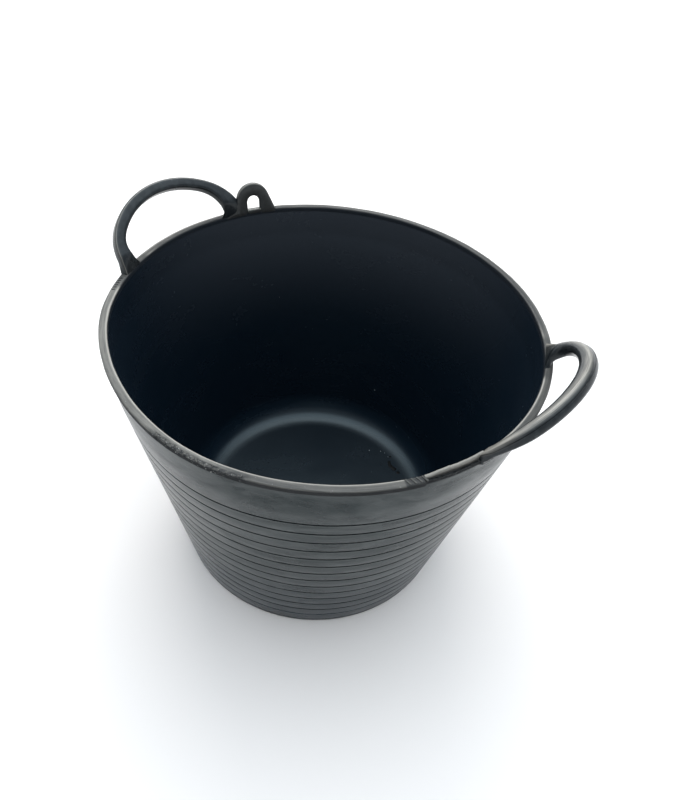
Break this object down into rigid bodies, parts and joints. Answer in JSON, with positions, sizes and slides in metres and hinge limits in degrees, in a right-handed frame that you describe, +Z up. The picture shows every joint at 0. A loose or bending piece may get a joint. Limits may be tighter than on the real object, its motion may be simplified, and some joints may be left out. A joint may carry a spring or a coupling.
{
  "type": "cement tub",
  "caption": "Flexible round cement tub with a tapering grooved wall, a smooth collar under a flat-topped rim, springy arched handles and a hanging eye.",
  "frame": {"origin": "centre of the foot ring, on the surface that the tub stands on", "axes": "+X from the axis through the right handle's middle, -X through the left handle's, +Z up the tub's axis"},
  "size_m": [0.4508, 0.4, 0.3442],
  "materials": {
    "shell": "satin inside, dusty outside",
    "rim": "matte, dusty and scuffed",
    "handle": "satin, scuffed",
    "eye": "satin"
  },
  "bodies": {
    "tub": {"base": "shell", "wall": "shell", "collar": "shell", "rim": "rim", "left_handle_front_root": "handle", "left_handle_rear_root": "handle", "right_handle_front_root": "handle", "right_handle_rear_root": "handle", "left_handle_front_neck": "handle", "left_handle_rear_neck": "handle", "right_handle_front_neck": "handle", "right_handle_rear_neck": "handle", "hanging_eye": "eye", "eye_stub": "rim"},
    "left_handle": {"left_handle_grip": "handle"},
    "right_handle": {"right_handle_grip": "handle"}
  },
  "joints": [
    {"name": "left_handle_bend", "type": "hinge", "parent": "tub", "child": "left_handle", "pos_m": [-0.18808, 0, 0.30775], "axis": [0, 1, 0], "range_deg": [-35, 75], "stiffness_Nm_per_rad": 3, "deforming": ["left_handle_front_neck", "left_handle_rear_neck"]},
    {"name": "right_handle_bend", "type": "hinge", "parent": "tub", "child": "right_handle", "pos_m": [0.18748, 0, 0.30841], "axis": [0, -1, 0], "range_deg": [-35, 75], "stiffness_Nm_per_rad": 3, "deforming": ["right_handle_front_neck", "right_handle_rear_neck"]}
  ]
}
